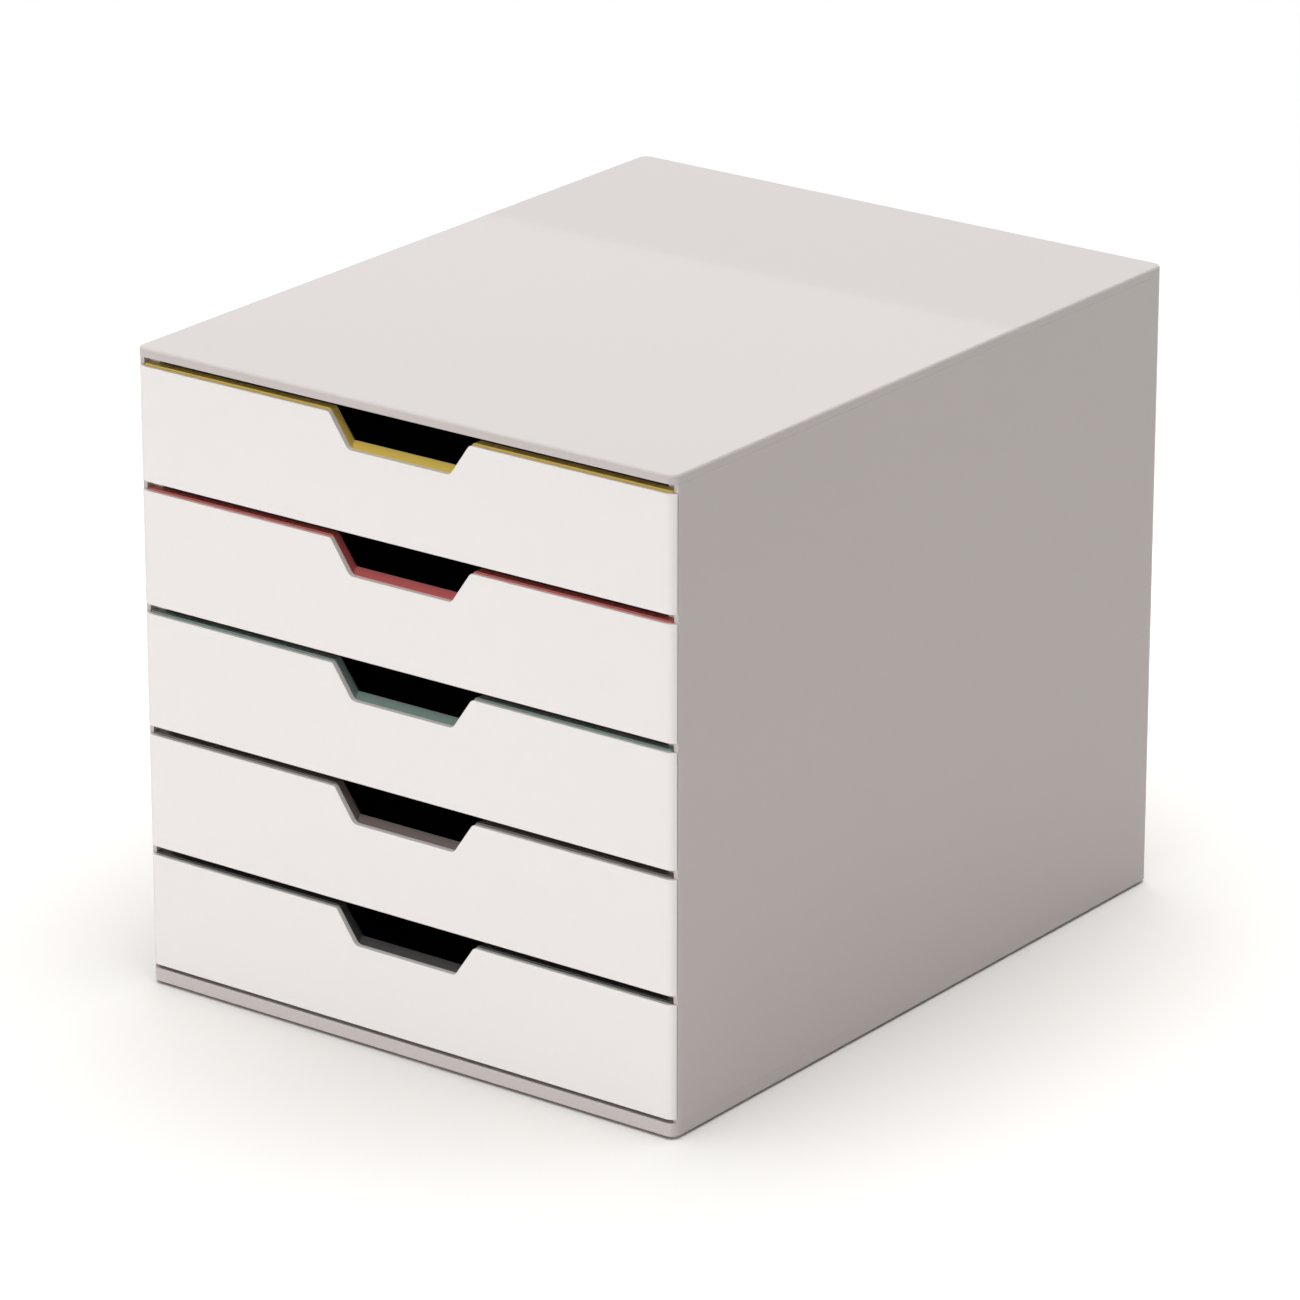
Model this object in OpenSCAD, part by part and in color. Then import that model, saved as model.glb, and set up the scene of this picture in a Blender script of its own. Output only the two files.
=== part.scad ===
// Desktop drawer box: a snap-together casing with five full-width drawers.
// Frame: X runs across the box, -Y is the front, +Z is up. The origin is on the table,
// under the middle of the box. Drawer 1 is the top one. All sizes are in millimetres.

/* [Casing] */
// Width over the side panels
case_w = 282; // [250:1:320]
// Depth from the drawer fronts to the rear panel
case_d = 356; // [330:1:400]
// Thickness of the casing's outer walls
wall = 2.5; // [2.2:0.1:3]
// Radius of the four upright corners, seen from above
corner_r = 4.5; // [3.5:0.5:5.5]
// Height of the top cover's rim, seen as a lip above the drawers
top_rim_h = 4; // [3.6:0.1:6]
// Rounding of the top cover's upper edge
top_edge_r = 1.2; // [0.8:0.1:2.4]
// Height of the base's rim, seen as a lip below the drawers
base_rim_h = 6.2; // [4.6:0.1:7]
// Rounding of the base's lower edge
base_edge_r = 0.8; // [0.5:0.1:2.2]
// Rounding of the rim edges that face the drawers and side panels
seam_edge_r = 0.1; // [0.1:0.1:0.6]
// Height of the stiffening ribs under the top cover
cover_rib_h = 3; // [1:0.5:4]
// Height of the stiffening ribs under the base
base_rib_h = 1.6; // [1:0.1:2]
// Spacing of those ribs, both ways
deck_rib_pitch = 80; // [60:1:82]
// Thickness of all stiffening ribs
rib_t = 1.4; // [1:0.1:2]

/* [Drawer fronts] */
// Height of one drawer front
front_h = 51.1; // [49:0.1:60]
// Gap between one front and the next
front_gap = 4.1; // [3:0.1:6]
// Gap between the base's rim and the lowest front
bottom_gap = 1.6; // [1:0.1:4]
// Gap between the highest front and the top cover's rim
top_gap = 4.1; // [3:0.1:6]
// Thickness of a front
front_t = 2.4; // [1.8:0.1:2.6]
// Rounding of a front's outer edges
front_edge_r = 0.4; // [0.3:0.1:0.8]

/* [Finger cut-out] */
// Width of the cut-out at its floor
grip_floor_w = 53.4; // [40:0.2:56]
// Width of the cut-out at the top edge of the front
grip_mouth_w = 73.6; // [64:0.2:84]
// Depth of the cut-out below the top edge of the front
grip_depth = 14.6; // [12:0.2:16]
// Rounding of the cut-out's two floor corners
grip_floor_r = 3.5; // [1:0.1:4]
// Rounding of the cut-out's two mouth corners
grip_mouth_r = 2; // [1.9:0.1:4]

/* [Grip frames] */
// Depth of the coloured grip frame behind a front
frame_d = 4; // [3.8:0.1:5]
// Wall thickness of the grip frame
frame_wall = 1.4; // [1.2:0.1:1.6]
// How far the frame stands above the top edge of its front
frame_rise = 0.8; // [0.4:0.1:1.6]
// How far the frame's lower edge is hidden above that of its front
frame_lift = 0.8; // [0.5:0.1:2]
// Rise of the bevelled finger ledge from its front to its rear
ledge_rise = 2.3; // [1:0.1:3]

/* [Trays] */
// Thickness of a tray's walls and floor
tray_wall = 2; // [1.6:0.1:2.4]
// Height of a tray over its floor and flanges
tray_h = 43; // [36:0.5:43]
// Height of a tray's floor above the lower edge of its front
tray_lift = 1; // [0.5:0.1:3]
// Outer rounding of a tray's lower edges
tray_edge_r = 5; // [3:0.5:5.5]
// Outer rounding of a tray's upright corners
tray_corner_r = 6; // [5.5:0.5:9]
// Free space between a tray's rear wall and the rear panel
tray_rear_gap = 7.5; // [6:0.5:20]

/* [Runners and stops] */
// Thickness of a tray's sliding flange
flange_t = 2; // [1.6:0.1:2.4]
// How far a flange stands out from the tray's wall
flange_w = 4.5; // [4.2:0.1:5]
// Thickness of the runner rib under a flange
runner_t = 2.2; // [1.6:0.1:3]
// Thickness of the keeper rib over a flange
keeper_t = 2; // [1.6:0.1:2.6]
// Depth of the stiffened jamb at the front end of the runners
jamb_d = 2.5; // [2:0.1:4]
// How far a drawer pulls out before it meets its stops
travel = 240; // [200:1:250]
// Width of the slit that frees the spring tongue at a flange's rear end
slit_w = 1.5; // [1.3:0.1:1.6]
// Length of the spring tongue
tongue_l = 46; // [30:1:60]
// How far the tongue's stop nose stands out from the flange
nose_h = 1.4; // [1:0.1:1.4]
// Length of the stop nose's flat top
nose_flat = 3; // [2:0.5:5]
// Length of the ramp behind the nose and in front of the stop block
ramp_l = 6; // [4:0.5:9]
// Length of the stop block's flat top
block_flat = 4; // [3:0.5:8]

/* [Snap joints] */
// Length of the snap walls under the top cover and over the base
snap_wall_l = 300; // [260:5:310]
// Height of the snap walls past the edge of the side panel
snap_wall_h = 6; // [5:0.5:6]
// Thickness of the snap walls
snap_wall_t = 1.8; // [1.4:0.1:2.2]
// Length of one snap barb
barb_l = 12; // [8:1:20]
// How far the casing's snap barbs stand out
barb_h = 0.8; // [0.5:0.1:0.9]
// Height of the casing's snap barbs
barb_rise = 2; // [1:0.1:3]
// Spacing of the snap barbs along the casing
barb_pitch = 110; // [90:5:120]
// Width of a drawer front's snap hook
hook_w = 8; // [6:0.5:12]
// Thickness of a snap hook
hook_t = 1.6; // [1.2:0.1:1.8]
// Height of a snap hook's barb
hook_barb_h = 1; // [0.6:0.1:1.2]
// Length of a snap hook's barb
hook_barb_l = 1.4; // [1:0.1:1.5]
// Distance of the outer hooks from the middle of the front
hook_outer_x = 100; // [90:1:112]
// Distance of the inner hooks from the middle of the front
hook_inner_x = 40; // [30:1:50]
// Height of the lower hooks above the front's lower edge
hook_low_z = 12; // [9:0.5:18]
// Height of the upper hooks above the front's lower edge
hook_high_z = 35; // [28:0.5:36]

/* [Rear panel] */
// Width of the side panels' return round each rear corner
return_w = 14.8; // [12:0.1:20]
// Width of the lap that the rear panel slides into the side panels
lap_w = 7.5; // [5:0.5:9]
// Thickness of the lap
lap_t = 2; // [1.6:0.1:2.2]
// Thickness of the upright fin that closes the lap's groove
fin_t = 2; // [1.6:0.1:2.4]
// How far the fin reaches over the lap
fin_cover = 4; // [3:0.5:6]
// Spacing of the stiffening ribs across the rear panel
rear_rib_pitch = 62; // [50:1:64]

/* [Feet] */
// Diameter of a rubber foot
foot_dia = 16; // [12:0.5:20]
// Height of the box's base above the table
foot_show = 1.2; // [1:0.1:3]
// Diameter of the stud that plugs a foot into the base
stud_dia = 5.8; // [4:0.1:7]
// Diameter of the stud's head
stud_head_dia = 8.2; // [7.6:0.1:9]
// Height of the stud's head
stud_head_h = 1.6; // [1.2:0.1:1.8]
// Distance of a foot's middle from the side of the box
foot_in_x = 24; // [18:1:40]
// Distance of a foot's middle from the front or rear of the box
foot_in_y = 28; // [18:1:50]

/* [Clearances] */
// Gap beside and above parts that slide
slide_gap = 0.5; // [0.3:0.1:0.6]
// Gap between a tray's wall and the runner ribs
tray_side_gap = 1; // [0.8:0.1:1.4]
// Gap round parts that are snapped together
snap_gap = 0.2; // [0.1:0.05:0.25]
// Gap between a drawer's front or grip frame and the side panels
shut_gap = 0.3; // [0.2:0.1:0.5]
// Gap round a foot's stud in its hole
stud_gap = 0.1; // [0.05:0.05:0.2]

/* [Hidden] */
$fn = 64;

// Colours, as seen in even light
casing_colour = "#CBC7C3";
front_colour = "#EEE9E6";
tray_colour = "#2B2B2B";
rubber_colour = "#1E1E1E";
// Grip frames, from the top drawer down: yellow, coral red, petrol green, taupe, anthracite
grip_colours = ["#D9BC4E", "#C4565A", "#6D8D84", "#6A5F5C", "#414243"];

// The stack of drawers, from the table up
drawer_count = 5;
pitch = front_h + front_gap;
base_z = foot_show;
base_top_z = base_z + base_rim_h;
first_front_z = base_top_z + bottom_gap;
cover_z = first_front_z + drawer_count * front_h + (drawer_count - 1) * front_gap + top_gap;
case_h = cover_z + top_rim_h;
function bay_z(n) = first_front_z + (drawer_count - n) * pitch;

// Planes of the casing
front_y = -case_d / 2;
rear_y = case_d / 2;
side_x = case_w / 2;
inner_x = side_x - wall;
inner_rear_y = rear_y - wall;
deck_t = wall;

// Planes of a drawer, with heights above the lower edge of its front. The side panels start
// at panel_y, just behind the fronts.
frame_y = front_y + front_t;
panel_y = frame_y + shut_gap;
tray_y = frame_y + frame_d;
tray_inner_y = tray_y + tray_wall;
tray_rear_y = inner_rear_y - tray_rear_gap;
tray_top = tray_lift + tray_h;
flange_z = tray_top - flange_t;
channel_h = flange_t + slide_gap;
nose_x = inner_x - slide_gap;
flange_x = nose_x - nose_h;
tray_x = flange_x - flange_w;
rib_x = tray_x + tray_side_gap;
nose_y = tray_rear_y - ramp_l - nose_flat;
block_y = nose_y - travel;
block_x = flange_x + slide_gap;

// Grip frame, which slides in between the side panels
frame_x = inner_x - shut_gap;
frame_corner_r = 1;
frame_top = front_h + frame_rise;
frame_ribs_x = [70, 118];

// Cut-out: its flank rises at this angle from the floor
flank_angle = atan2(grip_depth, (grip_mouth_w - grip_floor_w) / 2);
grip_floor_z = front_h - grip_depth;

// Lap joint of the rear panel
return_x = side_x - return_w;
panel_x = return_x - snap_gap;
lap_x = panel_x + lap_w;
lap_y = inner_rear_y - lap_t;
fin_x = lap_x - fin_cover;
fin_y = lap_y - snap_gap - fin_t;

// Snap barbs end this far from the root of their wall
barb_reach = snap_wall_h - 1;
// Overlap that joins two shapes of one piece
fuse = 0.5;
// Oversize of a corner circle
crossing = 0.01;

// ---------------------------------------------------------------- shared shapes

// Cross-section of a plate edge: 0 to reach, with both outer corners rounded
module edge_profile(reach, h, top_r, bottom_r) {
    intersection() {
        square([reach, h]);
        union() {
            square([reach - bottom_r, h / 2]);
            translate([0, h / 2])
                square([reach - top_r, h / 2]);
            translate([0, bottom_r])
                square([reach, h - top_r - bottom_r]);
            translate([reach - top_r, h - top_r])
                circle(top_r);
            translate([reach - bottom_r, bottom_r])
                circle(bottom_r);
        }
    }
}

// The same cross-section to both sides of the middle
module full_profile(w, h, top_r, bottom_r) {
    for (side = [0, 1])
        mirror([side, 0])
            edge_profile(w / 2, h, top_r, bottom_r);
}

// Slab with round upright corners and rounded upper and lower edges
module round_slab(w, d, h, plan_r, top_r, bottom_r) {
    for (sx = [-1, 1], sy = [-1, 1])
        translate([sx * (w / 2 - plan_r), sy * (d / 2 - plan_r), 0])
            rotate_extrude()
                edge_profile(plan_r, h, top_r, bottom_r);
    along_x(w - 2 * plan_r)
        full_profile(d, h, top_r, bottom_r);
    along_y(-d / 2 + plan_r, d / 2 - plan_r)
        full_profile(w, h, top_r, bottom_r);
}

// Rounded rectangle, seen from above
module plan_rect(w, d, r) {
    square([w - 2 * r, d], center = true);
    square([w, d - 2 * r], center = true);
    for (sx = [-1, 1], sy = [-1, 1])
        translate([sx * (w / 2 - r), sy * (d / 2 - r)])
            circle(r);
}

// Extrudes a Y-Z outline along X, centred
module along_x(length) {
    rotate([90, 0, 90])
        linear_extrude(length, center = true)
            children();
}

// Extrudes an X-Z outline along Y between two planes
module along_y(y_from, y_to) {
    translate([0, y_to, 0])
        rotate([90, 0, 0])
            linear_extrude(y_to - y_from)
                children();
}

// Box between two corners
module box(low, high) {
    translate(low)
        cube(high - low);
}

// Draws its children on both sides of the middle
module both_sides() {
    children();
    mirror([1, 0, 0])
        children();
}

// Outline of the finger cut-out, grown outwards by grow, in a plate whose top edge is at top.
// The corner circles are a hair oversize, so that they cross the straight sides cleanly.
module grip_outline(grow = 0, top = front_h) {
    floor_z = grip_floor_z - grow;
    floor_half = grip_floor_w / 2 + grow * tan(flank_angle / 2);
    mouth_half = floor_half + (top - floor_z) / tan(flank_angle);
    floor_r = grip_floor_r + grow;
    mouth_r = grip_mouth_r - grow;
    floor_cut = floor_r * tan(flank_angle / 2);
    mouth_cut = mouth_r * tan(flank_angle / 2);
    open_z = top + 10;
    for (side = [0, 1])
        mirror([side, 0]) {
            polygon([
                [0, floor_z],
                [floor_half - floor_cut, floor_z],
                [floor_half + floor_cut * cos(flank_angle), floor_z + floor_cut * sin(flank_angle)],
                [mouth_half, top],
                [mouth_half, open_z],
                [0, open_z]
            ]);
            translate([floor_half - floor_cut, floor_z + floor_r])
                circle(floor_r + crossing);
            difference() {
                polygon([
                    [mouth_half - mouth_cut * cos(flank_angle), top - mouth_cut * sin(flank_angle)],
                    [mouth_half + mouth_cut, top],
                    [mouth_half + mouth_cut, open_z],
                    [mouth_half - mouth_cut, open_z]
                ]);
                translate([mouth_half + mouth_cut, top - mouth_r])
                    circle(mouth_r + crossing);
            }
        }
}

// ---------------------------------------------------------------- snap hooks of the fronts

// Puts its children at each snap hook's place
module at_hooks() {
    for (side = [-1, 1]) {
        translate([side * hook_outer_x, 0, hook_low_z])
            children();
        translate([side * hook_inner_x, 0, hook_low_z])
            children();
        translate([side * hook_outer_x, 0, hook_high_z])
            children();
    }
}

// One hook: a leg from the front's inner face, with a barb behind the tray's front wall
module hook() {
    along_x(hook_w)
        polygon([
            [frame_y - fuse, 0],
            [tray_inner_y + hook_barb_l, 0],
            [tray_inner_y + hook_barb_l, hook_t],
            [tray_inner_y, hook_t + hook_barb_h],
            [tray_inner_y, hook_t],
            [frame_y - fuse, hook_t]
        ]);
}

// The slot that a hook springs through, with room below for it to flex
module hook_slot() {
    box([-hook_w / 2 - snap_gap, frame_y - 1, -hook_barb_h - snap_gap],
        [hook_w / 2 + snap_gap, tray_inner_y + 1, hook_t + snap_gap / 2]);
}

// ---------------------------------------------------------------- drawer pieces

// White front: a plate that covers the front edges of the side panels, with round ends
module drawer_front(n) {
    color(front_colour)
        translate([0, 0, bay_z(n)])
            difference() {
                union() {
                    translate([0, frame_y, 0])
                        mirror([0, 1, 0])
                            along_x(case_w - 2 * corner_r)
                                edge_profile(front_t, front_h, front_edge_r, front_edge_r);
                    both_sides()
                        front_corner();
                    at_hooks()
                        hook();
                }
                along_y(front_y - 1, frame_y + fuse)
                    grip_outline();
            }
}

// Round end of a front, cut off level with the front's inner face
module front_corner() {
    difference() {
        translate([side_x - corner_r, front_y + corner_r, 0])
            rotate([0, 0, -90])
                rotate_extrude(angle = 90)
                    edge_profile(corner_r, front_h, front_edge_r, front_edge_r);
        box([side_x - corner_r - 1, frame_y, -1],
            [side_x + 1, front_y + corner_r + 1, front_h + 1]);
    }
}

// Coloured grip frame: a shallow shell whose bevelled ledge the fingers pull on
module grip_frame(n) {
    color(grip_colours[n - 1])
        translate([0, 0, bay_z(n)])
            difference() {
                translate([0, 0, frame_lift])
                    linear_extrude(frame_top - frame_lift)
                        frame_plan();
                difference() {
                    along_y(frame_y - 1, tray_y + 1)
                        grip_outline(0, frame_top);
                    finger_ledge();
                }
                along_y(frame_y + frame_wall, tray_y + 1)
                    frame_pocket();
                at_hooks()
                    hook_slot();
            }
}

// The grip frame seen from above, with its two front corners a little rounded
module frame_plan() {
    intersection() {
        translate([0, frame_y + case_d / 2])
            plan_rect(2 * frame_x, case_d, frame_corner_r);
        translate([-side_x, frame_y])
            square([case_w, frame_d]);
    }
}

// Outline of the hollow behind the grip frame's face, less its upright ribs
module frame_pocket() {
    difference() {
        translate([-frame_x + frame_wall, frame_lift + frame_wall])
            square([2 * (frame_x - frame_wall), frame_top - frame_lift - 2 * frame_wall]);
        grip_outline(frame_wall, frame_top);
        for (side = [-1, 1], x = frame_ribs_x)
            translate([side * x - rib_t / 2, 0])
                square([rib_t, frame_top]);
    }
}

// What is left standing on the cut-out's floor: a wedge that rises to the rear
module finger_ledge() {
    under_z = grip_floor_z - grip_floor_r;
    along_x(grip_mouth_w + 10)
        polygon([
            [frame_y, under_z],
            [tray_y + 2, under_z],
            [tray_y + 2, grip_floor_z + ledge_rise],
            [tray_y, grip_floor_z + ledge_rise],
            [frame_y, grip_floor_z]
        ]);
}

// Tray: an open box with a sliding flange and a spring tongue on each side
module drawer_tray(n) {
    color(tray_colour)
        translate([0, 0, bay_z(n)]) {
            difference() {
                union() {
                    tray_form(0);
                    box([-flange_x, tray_y, flange_z], [flange_x, tray_rear_y, tray_top]);
                }
                translate([0, 0, tray_wall])
                    tray_form(tray_wall);
                along_y(tray_y - 1, tray_inner_y + 1)
                    grip_outline(1);
                at_hooks()
                    hook_slot();
                both_sides()
                    box([tray_x, tray_rear_y - tongue_l, flange_z - 1],
                        [tray_x + slit_w, tray_rear_y + 1, tray_top + 1]);
            }
            both_sides()
                stop_nose();
        }
}

// Block with the tray's rounded lower edges and corners, drawn in from its outside by inset
module tray_form(inset) {
    translate([0, (tray_y + tray_rear_y) / 2, tray_lift])
        round_slab(2 * (tray_x - inset), tray_rear_y - tray_y - 2 * inset, tray_h,
            tray_corner_r - inset, seam_edge_r, tray_edge_r - inset);
}

// Nose on the spring tongue: square to the front, with a ramp to the rear
module stop_nose() {
    translate([0, 0, flange_z])
        linear_extrude(flange_t)
            polygon([
                [flange_x - fuse, nose_y],
                [nose_x, nose_y],
                [nose_x, nose_y + nose_flat],
                [flange_x, nose_y + nose_flat + ramp_l],
                [flange_x - fuse, nose_y + nose_flat + ramp_l]
            ]);
}

// ---------------------------------------------------------------- casing pieces

// Snap wall that goes down inside the side panel, drawn below z = 0 with its barbs outwards
module snap_wall(root) {
    wall_x = inner_x - snap_gap;
    box([wall_x - snap_wall_t, -snap_wall_l / 2, -snap_wall_h],
        [wall_x, snap_wall_l / 2, root]);
    for (y = [-1 : 1])
        translate([0, y * barb_pitch + barb_l / 2, 0])
            rotate([90, 0, 0])
                linear_extrude(barb_l)
                    polygon([
                        [wall_x - fuse, -barb_reach + barb_rise],
                        [wall_x + barb_h, -barb_reach + barb_rise],
                        [wall_x, -barb_reach],
                        [wall_x - fuse, -barb_reach]
                    ]);
}

// The pockets in a side panel that take those barbs
module barb_pockets() {
    for (y = [-1 : 1])
        translate([0, y * barb_pitch, 0])
            box([inner_x - 1, -barb_l / 2 - snap_gap, -barb_reach - snap_gap],
                [inner_x + barb_h, barb_l / 2 + snap_gap, -barb_reach + barb_rise + snap_gap / 2]);
}

// Crossing ribs under a deck, kept clear of its rim
module deck_ribs(rib_h) {
    reach_x = inner_x - 8;
    reach_y = inner_rear_y - 12;
    for (step = [-1 : 1])
        translate([step * deck_rib_pitch, 0, 0])
            box([-rib_t / 2, -reach_y, -rib_h], [rib_t / 2, reach_y, fuse]);
    for (step = [-1.5 : 1.5])
        translate([0, step * deck_rib_pitch, 0])
            box([-reach_x, -rib_t / 2, -rib_h], [reach_x, rib_t / 2, fuse]);
}

// Top cover: a shallow lid with snap walls inside its long sides
module top_cover() {
    deck_z = top_rim_h - deck_t;
    color(casing_colour)
        translate([0, 0, cover_z]) {
            difference() {
                round_slab(case_w, case_d, top_rim_h, corner_r, top_edge_r, seam_edge_r);
                translate([0, 0, -1])
                    linear_extrude(deck_z + 1)
                        plan_rect(case_w - 2 * wall, case_d - 2 * wall, corner_r - wall);
            }
            both_sides()
                snap_wall(deck_z + fuse);
            translate([0, 0, deck_z])
                deck_ribs(cover_rib_h);
        }
}

// Base: a deck with a rim, rings for the feet, and snap walls standing on it
module base_tray() {
    deck_z = base_rim_h - deck_t;
    color(casing_colour)
        translate([0, 0, base_z]) {
            difference() {
                union() {
                    difference() {
                        round_slab(case_w, case_d, base_rim_h, corner_r, seam_edge_r, base_edge_r);
                        translate([0, 0, -1])
                            linear_extrude(deck_z + 1)
                                plan_rect(case_w - 2 * wall, case_d - 2 * wall, corner_r - wall);
                    }
                    translate([0, 0, deck_z])
                        deck_ribs(base_rib_h);
                    at_feet()
                        translate([0, 0, deck_z - base_rib_h])
                            cylinder(d = foot_dia + 2 * snap_gap + 2 * rib_t, h = base_rib_h + fuse);
                }
                at_feet() {
                    translate([0, 0, -1])
                        cylinder(d = foot_dia + 2 * snap_gap, h = deck_z + 1);
                    cylinder(d = stud_dia + 2 * stud_gap, h = base_rim_h + 1);
                }
            }
            both_sides()
                translate([0, 0, base_rim_h])
                    mirror([0, 0, 1])
                        snap_wall(fuse);
        }
}

// Puts its children at each foot's place
module at_feet() {
    for (sx = [-1, 1], sy = [-1, 1])
        translate([sx * (side_x - foot_in_x), sy * (rear_y - foot_in_y), 0])
            children();
}

// Rubber foot with a plug stud; sx and sy choose the corner
module foot(sx, sy) {
    pad_top = base_top_z - deck_t;
    color(rubber_colour)
        translate([sx * (side_x - foot_in_x), sy * (rear_y - foot_in_y), 0])
            rotate_extrude()
                polygon([
                    [0, 0],
                    [foot_dia / 2 - 0.6, 0],
                    [foot_dia / 2, 0.6],
                    [foot_dia / 2, pad_top],
                    [stud_dia / 2, pad_top],
                    [stud_dia / 2, base_top_z],
                    [stud_head_dia / 2, base_top_z],
                    [stud_dia / 2, base_top_z + stud_head_h],
                    [0, base_top_z + stud_head_h]
                ]);
}

// Right side panel with its runners; the left one is its mirror image
module side_panel() {
    color(casing_colour)
        difference() {
            union() {
                translate([0, 0, base_top_z])
                    linear_extrude(cover_z - base_top_z)
                        side_panel_plan();
                for (n = [1 : drawer_count])
                    translate([0, 0, bay_z(n)])
                        runner();
            }
            for (n = [1 : drawer_count])
                translate([0, 0, bay_z(n)])
                    box([rib_x - 1, tray_y - 1, flange_z],
                        [inner_x, tray_y + jamb_d + fuse, flange_z + channel_h]);
            translate([0, 0, cover_z])
                barb_pockets();
            translate([0, 0, base_top_z])
                mirror([0, 0, 1])
                    barb_pockets();
        }
}

// Side panel seen from above: wall, front jamb, rear corner, return and groove fin
module side_panel_plan() {
    intersection() {
        translate([inner_x, panel_y])
            square([wall, rear_y - corner_r - panel_y]);
        plan_rect(case_w, case_d, corner_r);
    }
    translate([rib_x, tray_y])
        square([inner_x - rib_x + fuse, jamb_d]);
    intersection() {
        translate([side_x - corner_r, rear_y - corner_r])
            difference() {
                circle(corner_r);
                circle(corner_r - wall);
            }
        translate([side_x - corner_r, rear_y - corner_r])
            square(corner_r);
    }
    translate([return_x, inner_rear_y])
        square([side_x - corner_r - return_x, wall]);
    translate([fin_x, fin_y])
        square([inner_x - fin_x + fuse, fin_t]);
}

// Runner of one drawer: rib below the flange, keeper rib above it, and stop block
module runner() {
    box([rib_x, tray_y, flange_z - runner_t], [inner_x + fuse, fin_y + fuse, flange_z]);
    box([rib_x, tray_y, flange_z + channel_h],
        [inner_x + fuse, fin_y + fuse, flange_z + channel_h + keeper_t]);
    translate([0, 0, flange_z - fuse])
        linear_extrude(channel_h + 2 * fuse)
            polygon([
                [inner_x + fuse, block_y],
                [block_x, block_y],
                [block_x, block_y - block_flat],
                [inner_x, block_y - block_flat - ramp_l],
                [inner_x + fuse, block_y - block_flat - ramp_l]
            ]);
}

// Rear panel: slides down into the side panels' grooves before the cover goes on
module rear_panel() {
    lap_top_z = case_h - deck_t;
    color(casing_colour) {
        box([-panel_x, inner_rear_y, base_top_z], [panel_x, rear_y, cover_z]);
        both_sides() {
            box([panel_x - lap_w, lap_y, base_top_z], [panel_x, inner_rear_y + fuse, cover_z]);
            box([panel_x - fuse, lap_y, base_top_z], [lap_x, inner_rear_y, cover_z]);
        }
        box([-panel_x, lap_y, cover_z - lap_w], [panel_x, inner_rear_y, lap_top_z]);
        for (step = [0 : 3])
            translate([0, 0, base_top_z + step * rear_rib_pitch])
                box([-panel_x, lap_y, 0], [panel_x, inner_rear_y + fuse, lap_w]);
    }
}

top_cover();
base_tray();
mirror([1, 0, 0]) side_panel();  // left_side_panel
side_panel();  // right_side_panel
rear_panel();
foot(-1, -1);  // foot_front_left
foot(1, -1);  // foot_front_right
foot(-1, 1);  // foot_rear_left
foot(1, 1);  // foot_rear_right
drawer_front(1);  // drawer_front_1
grip_frame(1);  // grip_frame_1
drawer_tray(1);  // drawer_tray_1
drawer_front(2);  // drawer_front_2
grip_frame(2);  // grip_frame_2
drawer_tray(2);  // drawer_tray_2
drawer_front(3);  // drawer_front_3
grip_frame(3);  // grip_frame_3
drawer_tray(3);  // drawer_tray_3
drawer_front(4);  // drawer_front_4
grip_frame(4);  // grip_frame_4
drawer_tray(4);  // drawer_tray_4
drawer_front(5);  // drawer_front_5
grip_frame(5);  // grip_frame_5
drawer_tray(5);  // drawer_tray_5
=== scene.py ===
"""Desktop drawer box: finishes, floor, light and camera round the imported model.

Everything is in metres, in the model's own frame: X runs across the box, -Y is the front,
+Z is up, and the origin is on the table under the middle of the box.
"""

from math import radians

import bpy
from mathutils import Matrix, Vector


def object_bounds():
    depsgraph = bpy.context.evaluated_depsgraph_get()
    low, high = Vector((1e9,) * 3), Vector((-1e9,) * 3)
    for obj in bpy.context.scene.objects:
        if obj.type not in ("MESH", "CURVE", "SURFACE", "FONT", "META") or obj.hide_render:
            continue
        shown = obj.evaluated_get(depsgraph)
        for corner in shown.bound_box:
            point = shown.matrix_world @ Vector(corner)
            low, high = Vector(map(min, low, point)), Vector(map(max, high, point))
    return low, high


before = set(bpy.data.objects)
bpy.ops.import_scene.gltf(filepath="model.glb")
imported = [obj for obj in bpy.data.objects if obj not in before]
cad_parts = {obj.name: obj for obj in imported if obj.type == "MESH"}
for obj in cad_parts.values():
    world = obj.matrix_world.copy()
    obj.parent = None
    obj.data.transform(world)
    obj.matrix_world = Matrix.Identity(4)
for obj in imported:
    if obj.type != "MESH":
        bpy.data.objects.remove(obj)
cad_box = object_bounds()

MM = 0.001
BOX_HEIGHT = cad_box[1].z
DRAWERS = range(1, 6)
CASING_NODES = ["top_cover", "base_tray", "left_side_panel", "right_side_panel", "rear_panel"]
FOOT_NODES = ["foot_front_left", "foot_front_right", "foot_rear_left", "foot_rear_right"]

# Colours in even light, as sRGB
CASING_GREY = "#CAC2BF"
FRONT_WHITE = "#F0ECEA"
TRAY_BLACK = "#2B2B2B"
RUBBER_BLACK = "#1E1E1E"
# Grip frames, from the top drawer down: yellow, coral red, petrol green, taupe, anthracite
GRIP_COLOURS = {1: "#E4C65A", 2: "#C05E5E", 3: "#7C938B", 4: "#776B67", 5: "#474543"}
DUST_GREY = "#B9B2A8"
FLOOR_WHITE = "#F2F0ED"
WHITE = (1.0, 1.0, 1.0, 1.0)

# Where the camera stood, and how far right and up of the box's middle it looked
CAMERA_AZIMUTH = radians(36.786)
CAMERA_ELEVATION = radians(20.302)
CAMERA_ROLL = radians(0.013)
CAMERA_DISTANCE = 3.0924
CAMERA_AIM = (0.0037, 0.0120)
CAMERA_LENS = 197.4

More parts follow.
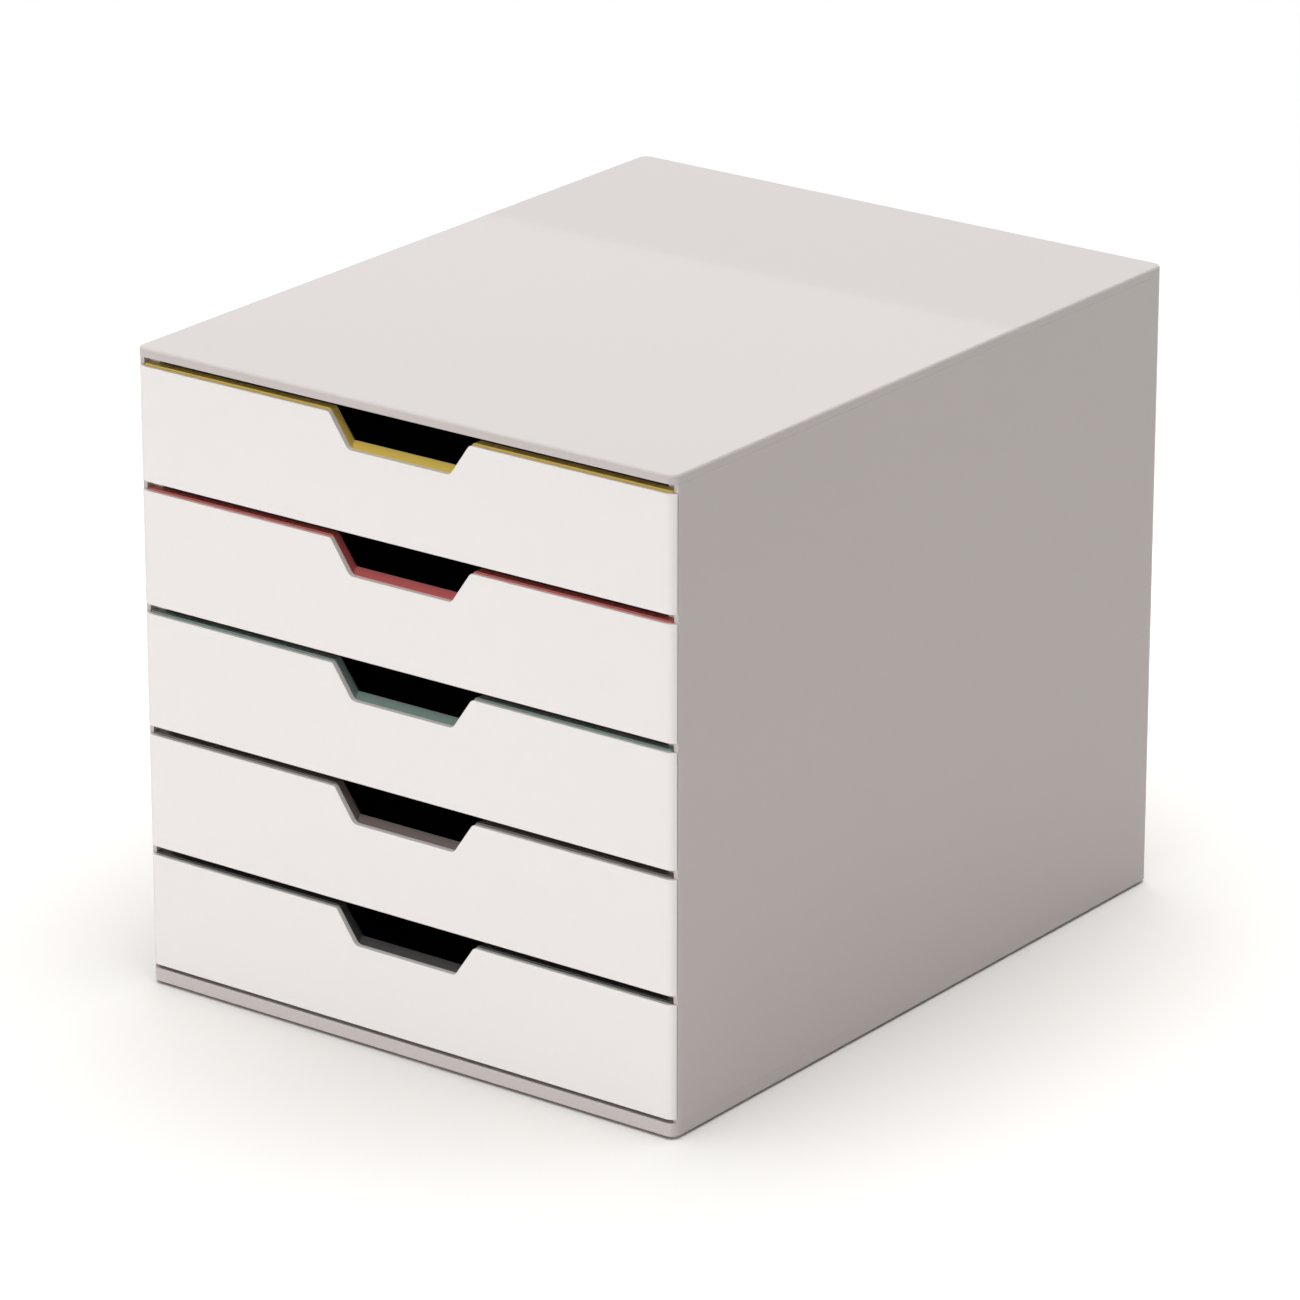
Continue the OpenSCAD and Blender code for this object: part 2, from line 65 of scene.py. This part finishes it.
# Lamps: name, place, what it faces, size and power in watts
BOX_MIDDLE = (0.0, 0.0, 0.15)
SOFT_BOXES = [
    ("overhead soft box", (0.0, 0.0, 2.4), BOX_MIDDLE, (3.2, 3.2), 75.0),
    ("front soft box", (-0.3, -2.5, 0.35), (0.0, 0.0, 0.12), (1.8, 0.6), 22.6),
    ("right soft box", (2.6, -0.4, 0.9), BOX_MIDDLE, (2.0, 1.6), 4.0),
    ("rear soft box", (-0.6, 2.6, 0.9), BOX_MIDDLE, (2.0, 1.6), 5.0),
]
# The polished top mirrors the lower edge of this card, two thirds of the way back
CARD_FOOT = 0.7265
CARD_SIZE = (1.5, 0.8)
CARD_POWER = 0.75
EVEN_LIGHT = 0.1


# ---------------------------------------------------------------- small helpers


def rgb(hex_colour):
    """A hexadecimal sRGB colour as the linear numbers that nodes take."""
    linear = []
    for start in (1, 3, 5):
        part = int(hex_colour[start:start + 2], 16) / 255
        linear.append(part / 12.92 if part <= 0.04045 else ((part + 0.055) / 1.055) ** 2.4)
    return (*linear, 1.0)


def add(tree, kind, inputs=None, **settings):
    """Adds a node. An input is given by its name or number, as a value or a node's socket."""
    made = tree.nodes.new(kind)
    for name, value in settings.items():
        setattr(made, name, value)
    for name, value in (inputs or {}).items():
        if isinstance(value, bpy.types.NodeSocket):
            tree.links.new(value, made.inputs[name])
        else:
            made.inputs[name].default_value = value
    return made


def maths(tree, operation, a, b=0.0, clamp=False):
    """Output of a Math node on two numbers or sockets."""
    made = add(tree, "ShaderNodeMath", {0: a, 1: b}, operation=operation, use_clamp=clamp)
    return made.outputs["Value"]


def vector_maths(tree, operation, a, b=(0.0, 0.0, 0.0)):
    """Vector output of a Vector Math node on two vectors or sockets."""
    made = add(tree, "ShaderNodeVectorMath", {0: a, 1: b}, operation=operation)
    return made.outputs["Vector"]


def scaled(tree, vector, factor):
    """A vector or colour times a number."""
    made = add(tree, "ShaderNodeVectorMath", {0: vector, "Scale": factor}, operation="SCALE")
    return made.outputs["Vector"]


def ramp(tree, value, start, end, low=0.0, high=1.0, rise="LINEAR"):
    """Goes from low, where value is start or less, to high, where it is end or more."""
    made = add(tree, "ShaderNodeMapRange", {
        "Value": value, "From Min": start, "From Max": end, "To Min": low, "To Max": high},
        interpolation_type=rise)
    return made.outputs["Result"]


def noise(tree, vector, scale, detail=2.0, roughness=0.5, distortion=0.0):
    """Output of a Noise Texture node."""
    made = add(tree, "ShaderNodeTexNoise", {
        "Vector": vector, "Scale": scale, "Detail": detail, "Roughness": roughness,
        "Distortion": distortion})
    return made.outputs["Fac"]


def mix_colour(tree, factor, a, b):
    """Output of a colour Mix node."""
    made = add(tree, "ShaderNodeMix", data_type="RGBA")
    factor_input, a_input, b_input = made.inputs[0], made.inputs[6], made.inputs[7]
    for socket, value in ((factor_input, factor), (a_input, a), (b_input, b)):
        if isinstance(value, bpy.types.NodeSocket):
            tree.links.new(value, socket)
        else:
            socket.default_value = value
    return made.outputs[2]


def new_group(name, inputs, outputs):
    """An empty node group. Inputs and outputs are (name, socket type) pairs."""
    tree = bpy.data.node_groups.new(name, "ShaderNodeTree")
    for label, kind in inputs:
        tree.interface.new_socket(label, in_out="INPUT", socket_type="NodeSocket" + kind)
    for label, kind in outputs:
        tree.interface.new_socket(label, in_out="OUTPUT", socket_type="NodeSocket" + kind)
    given = tree.nodes.new("NodeGroupInput").outputs
    result = tree.nodes.new("NodeGroupOutput").inputs
    return tree, given, result


def new_material(name):
    """An empty node material, its tree, and the Object coordinates in it."""
    material = bpy.data.materials.new(name)
    material.use_nodes = True
    tree = material.node_tree
    tree.nodes.clear()
    return material, tree, add(tree, "ShaderNodeTexCoord").outputs["Object"]


# ---------------------------------------------------------------- effects that the finishes share


def make_moulded_skin():
    """Surface of a moulding: the fine grain of the steel, and the slow waves of shrinkage."""
    tree, given, result = new_group(
        "moulded skin",
        [("Vector", "Vector"), ("Grain size", "Float"), ("Grain depth", "Float"),
         ("Wave size", "Float"), ("Wave depth", "Float")],
        [("Height", "Float"), ("Grain", "Float")])
    grain_scale = maths(tree, "DIVIDE", 1.0, given["Grain size"])
    wave_scale = maths(tree, "DIVIDE", 1.0, given["Wave size"])
    grain = noise(tree, given["Vector"], grain_scale, roughness=0.55)
    wave = noise(tree, given["Vector"], wave_scale, detail=1.0)
    height = maths(tree, "ADD", maths(tree, "MULTIPLY", grain, given["Grain depth"]),
                   maths(tree, "MULTIPLY", wave, given["Wave depth"]))
    tree.links.new(height, result["Height"])
    tree.links.new(grain, result["Grain"])
    return tree


def make_pigment():
    """Colour of a moulding, which drifts where the melt flowed and is faintly speckled."""
    flow_scale = (9.0, 4.0, 9.0)
    fleck_scale = 1600.0
    tree, given, result = new_group(
        "pigment",
        [("Vector", "Vector"), ("Color", "Color"), ("Drift", "Float"), ("Speckle", "Float")],
        [("Color", "Color")])
    along_the_flow = add(tree, "ShaderNodeMapping", {
        "Vector": given["Vector"], "Scale": flow_scale}).outputs["Vector"]
    flow = noise(tree, along_the_flow, 1.0, detail=3.0, distortion=0.6)
    fleck = noise(tree, given["Vector"], fleck_scale, detail=1.0)
    drift = maths(tree, "MULTIPLY", maths(tree, "SUBTRACT", flow, 0.5), given["Drift"])
    speckle = maths(tree, "MULTIPLY", maths(tree, "SUBTRACT", fleck, 0.5), given["Speckle"])
    level = maths(tree, "ADD", maths(tree, "ADD", drift, speckle), 1.0)
    tree.links.new(scaled(tree, given["Color"], level), result["Color"])
    return tree


def make_soft_edges():
    """Rounded look of a sharp edge: its normal, turned over Radius, and a mask, 1 on the edge."""
    mask_contrast = 6.0
    tree, given, result = new_group(
        "soft edges",
        [("Radius", "Float")],
        [("Normal", "Vector"), ("Edge", "Float")])
    rounded = add(tree, "ShaderNodeBevel", {"Radius": given["Radius"]}, samples=4).outputs["Normal"]
    true_normal = add(tree, "ShaderNodeNewGeometry").outputs["Normal"]
    facing = add(tree, "ShaderNodeVectorMath", {0: rounded, 1: true_normal},
                 operation="DOT_PRODUCT").outputs["Value"]
    turned = maths(tree, "SUBTRACT", 1.0, facing)
    tree.links.new(rounded, result["Normal"])
    tree.links.new(maths(tree, "MULTIPLY", turned, mask_contrast, clamp=True), result["Edge"])
    return tree


def make_settled_dust():
    """Thin dust on the faces that look up."""
    least_up, most_up = 0.6, 1.0
    patch_scale = 60.0
    tree, given, result = new_group(
        "settled dust",
        [("Vector", "Vector"), ("Color", "Color"), ("Dust", "Color"), ("Amount", "Float")],
        [("Color", "Color"), ("Mask", "Float")])
    normal = add(tree, "ShaderNodeNewGeometry").outputs["Normal"]
    up = add(tree, "ShaderNodeSeparateXYZ", {0: normal}).outputs["Z"]
    patches = noise(tree, given["Vector"], patch_scale, detail=6.0, roughness=0.7)
    lying = maths(tree, "MULTIPLY", ramp(tree, up, least_up, most_up), patches)
    mask = maths(tree, "MULTIPLY", lying, given["Amount"], clamp=True)
    tree.links.new(mix_colour(tree, mask, given["Color"], given["Dust"]), result["Color"])
    tree.links.new(mask, result["Mask"])
    return tree


MOULDED_SKIN = make_moulded_skin()
PIGMENT = make_pigment()
SOFT_EDGES = make_soft_edges()
SETTLED_DUST = make_settled_dust()


# ---------------------------------------------------------------- finishes


def moulded_plastic(name, colour, roughness, grain_size, grain_depth, wave_depth,
                    drift=0.02, speckle=0.01, dust=0.0):
    """Finish of an injection moulding, with a painted highlight along its sharp edges. Grain and
    wave sizes are in millimetres.
    """
    edge_radius = 0.3 * MM
    # Share of white in the painted highlight along sharp edges
    painted_edge_highlight = 0.12
    wave_size = 18 * MM
    dust_roughness = 0.4
    material, tree, place = new_material(name)

    pigment = add(tree, "ShaderNodeGroup", node_tree=PIGMENT)
    tree.links.new(place, pigment.inputs["Vector"])
    pigment.inputs["Color"].default_value = rgb(colour)
    pigment.inputs["Drift"].default_value = drift
    pigment.inputs["Speckle"].default_value = speckle

    # Painted highlight: along sharp edges the colour is mixed a little towards white, standing in
    # for light caught on the edge
    edges = add(tree, "ShaderNodeGroup", node_tree=SOFT_EDGES)
    edges.inputs["Radius"].default_value = edge_radius
    colour_with_painted_highlight = mix_colour(tree, maths(tree, "MULTIPLY", edges.outputs["Edge"], painted_edge_highlight),
                          pigment.outputs["Color"], WHITE)

    settled = add(tree, "ShaderNodeGroup", node_tree=SETTLED_DUST)
    tree.links.new(place, settled.inputs["Vector"])
    tree.links.new(colour_with_painted_highlight, settled.inputs["Color"])
    settled.inputs["Dust"].default_value = rgb(DUST_GREY)
    settled.inputs["Amount"].default_value = dust

    skin = add(tree, "ShaderNodeGroup", node_tree=MOULDED_SKIN)
    tree.links.new(place, skin.inputs["Vector"])
    skin.inputs["Grain size"].default_value = grain_size * MM
    skin.inputs["Grain depth"].default_value = grain_depth
    skin.inputs["Wave size"].default_value = wave_size
    skin.inputs["Wave depth"].default_value = wave_depth
    bump = add(tree, "ShaderNodeBump", {
        "Strength": 1.0, "Distance": MM,
        "Height": skin.outputs["Height"], "Normal": edges.outputs["Normal"]})

    # Grain lies around 0.5, so the roughness is near the given one
    grained = maths(tree, "MULTIPLY", roughness, maths(tree, "ADD", skin.outputs["Grain"], 0.5))
    dusty = maths(tree, "MULTIPLY", settled.outputs["Mask"], dust_roughness)

    shader = add(tree, "ShaderNodeBsdfPrincipled", {
        "Base Color": settled.outputs["Color"],
        "Roughness": maths(tree, "ADD", grained, dusty, clamp=True),
        "IOR": 1.5, "Normal": bump.outputs["Normal"]})
    add(tree, "ShaderNodeOutputMaterial", {"Surface": shader.outputs["BSDF"]})
    return material


def paint(names, material):
    """Gives CAD nodes a finish."""
    for name in names:
        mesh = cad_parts[name].data
        mesh.materials.clear()
        mesh.materials.append(material)


paint(CASING_NODES, moulded_plastic(
    "casing polystyrene", CASING_GREY, roughness=0.025,
    grain_size=0.5, grain_depth=0.0001, wave_depth=0.001, drift=0.012, speckle=0.006))
paint([f"drawer_front_{n}" for n in DRAWERS], moulded_plastic(
    "front polystyrene", FRONT_WHITE, roughness=0.2,
    grain_size=0.5, grain_depth=0.0005, wave_depth=0.002, drift=0.01, speckle=0.006))
paint([f"drawer_tray_{n}" for n in DRAWERS], moulded_plastic(
    "tray polystyrene", TRAY_BLACK, roughness=0.45,
    grain_size=0.6, grain_depth=0.006, wave_depth=0.004, drift=0.06, speckle=0.06, dust=0.05))
paint(FOOT_NODES, moulded_plastic(
    "foot rubber", RUBBER_BLACK, roughness=0.8,
    grain_size=0.4, grain_depth=0.01, wave_depth=0.0, drift=0.1, speckle=0.1, dust=0.1))
for n in DRAWERS:
    paint([f"grip_frame_{n}"], moulded_plastic(
        f"grip plastic {n}", GRIP_COLOURS[n], roughness=0.35,
        grain_size=0.45, grain_depth=0.002, wave_depth=0.002, drift=0.03, speckle=0.02))


# ---------------------------------------------------------------- floor, backdrop and light


def seen_directly(tree, mirror_share=1.0):
    """1 for rays from the camera, and mirror_share for those mirrored or let through to it."""
    path = add(tree, "ShaderNodeLightPath").outputs
    mirrored = maths(tree, "MAXIMUM", path["Is Glossy Ray"], path["Is Transmission Ray"])
    return maths(tree, "MAXIMUM", path["Is Camera Ray"],
                 maths(tree, "MULTIPLY", mirrored, mirror_share))


def distance_outside(tree, place, low, high):
    """Distance on the floor from a rectangle, which is given by its lowest and highest corner."""
    middle = [(a + b) / 2 for a, b in zip(low, high)] + [0.0]
    half = [(b - a) / 2 for a, b in zip(low, high)] + [0.0]
    folded = vector_maths(tree, "ABSOLUTE", vector_maths(tree, "SUBTRACT", place, middle))
    outside = vector_maths(tree, "MAXIMUM", vector_maths(tree, "SUBTRACT", folded, half))
    return add(tree, "ShaderNodeVectorMath", {0: outside}, operation="LENGTH").outputs["Value"]


def floor_lift(tree, distance):
    """What the floor's colour is raised by where it is seen directly: more further out."""
    least, most, reach = 0.04, 0.34, 0.377
    mirror_share = 0.25
    raised = ramp(tree, distance, 0.0, reach, least, most, rise="SMOOTHSTEP")
    return maths(tree, "ADD", 1.0,
                 maths(tree, "MULTIPLY", raised, seen_directly(tree, mirror_share)))


def mirror_shade(tree, place):
    """1, but 0 where mirrored rays meet the floor far in front, which shades the top drawer."""
    black_from, white_from = -1.0, -0.8
    across = add(tree, "ShaderNodeSeparateXYZ", {0: place}).outputs["Y"]
    too_far = ramp(tree, across, black_from, white_from, low=1.0, high=0.0)
    mirrored = add(tree, "ShaderNodeLightPath").outputs["Is Glossy Ray"]
    return maths(tree, "SUBTRACT", 1.0, maths(tree, "MULTIPLY", mirrored, too_far))


def make_floor():
    """Pale floor that shows plain white far out and keeps every shadow that falls on it.

    Where it is seen directly its colour is raised, and past far_off it turns plain white. The
    light that it throws back isn't raised.
    """
    size = 12.0
    box_middle_line = ((0.0, -0.145), (0.0, -0.025))
    far_off = (0.6, 1.2)
    cloud_scale, cloud_depth = 3.0, 0.1
    bpy.ops.mesh.primitive_plane_add(size=size, location=(0.0, 0.0, 0.0))
    floor = bpy.context.object
    floor.name = "floor"
    material, tree, place = new_material("studio floor")
    distance = distance_outside(tree, place, *box_middle_line)
    shade = mirror_shade(tree, place)
    clouds = maths(tree, "MULTIPLY", noise(tree, place, cloud_scale), cloud_depth)
    tint = mix_colour(tree, clouds, rgb(FLOOR_WHITE), WHITE)
    colour = scaled(tree, tint, maths(tree, "MULTIPLY", floor_lift(tree, distance), shade))
    matt = add(tree, "ShaderNodeBsdfDiffuse", {"Color": colour}).outputs["BSDF"]
    white = add(tree, "ShaderNodeEmission", {"Color": WHITE, "Strength": shade})
    plain = maths(tree, "MULTIPLY", ramp(tree, distance, *far_off), seen_directly(tree))
    mixed = add(tree, "ShaderNodeMixShader", {0: plain, 1: matt, 2: white.outputs["Emission"]})
    add(tree, "ShaderNodeOutputMaterial", {"Surface": mixed.outputs["Shader"]})
    floor.data.materials.append(material)


def make_world():
    """Even light from all round; the camera and mirrored rays see it as plain white."""
    world = bpy.data.worlds.new("studio")
    bpy.context.scene.world = world
    world.use_nodes = True
    tree = world.node_tree
    tree.nodes.clear()
    even, white = (
        add(tree, "ShaderNodeBackground", {"Color": WHITE, "Strength": strength}).outputs[0]
        for strength in (EVEN_LIGHT, 1.0))
    mixed = add(tree, "ShaderNodeMixShader", {0: seen_directly(tree), 1: even, 2: white})
    add(tree, "ShaderNodeOutputWorld", {"Surface": mixed.outputs["Shader"]})


def make_lamp(name, place, aim, size, power, mirrored=False):
    """Rectangular soft box at place, facing aim. Glossy faces show it only where mirrored."""
    data = bpy.data.lights.new(name, "AREA")
    data.shape = "RECTANGLE"
    data.size, data.size_y = size
    data.energy = power
    lamp = bpy.data.objects.new(name, data)
    bpy.context.scene.collection.objects.link(lamp)
    lamp.location = place
    lamp.rotation_euler = (Vector(aim) - Vector(place)).to_track_quat("-Z", "Y").to_euler()
    lamp.visible_camera = False
    lamp.visible_glossy = mirrored


def make_lamps():
    """Soft boxes all round, and the card behind the box that its top mirrors."""
    for soft_box in SOFT_BOXES:
        make_lamp(*soft_box)
    card_left, card_rear = -1.0, 1.2
    card_middle = CARD_FOOT + CARD_SIZE[1] / 2
    make_lamp("rear card", (card_left, card_rear, card_middle), (card_left, 0.0, card_middle),
              CARD_SIZE, CARD_POWER, mirrored=True)


def make_camera():
    """Camera at the photograph's place, looking just beside the middle of the box."""
    data = bpy.data.cameras.new("camera")
    data.sensor_width = 36.0
    data.lens = CAMERA_LENS
    data.clip_start, data.clip_end = 0.1, 50.0
    camera = bpy.data.objects.new("camera", data)
    bpy.context.scene.collection.objects.link(camera)
    box_middle = Matrix.Translation((0.0, 0.0, BOX_HEIGHT / 2))
    turn = (Matrix.Rotation(CAMERA_AZIMUTH, 4, "Z")
            @ Matrix.Rotation(radians(90.0) - CAMERA_ELEVATION, 4, "X")
            @ Matrix.Rotation(CAMERA_ROLL, 4, "Z"))
    step_back = Matrix.Translation((-CAMERA_AIM[0], -CAMERA_AIM[1], CAMERA_DISTANCE))
    camera.matrix_world = box_middle @ turn @ step_back
    bpy.context.scene.camera = camera


make_floor()
make_world()
make_lamps()
make_camera()

bpy.context.scene.view_settings.view_transform = "Standard"
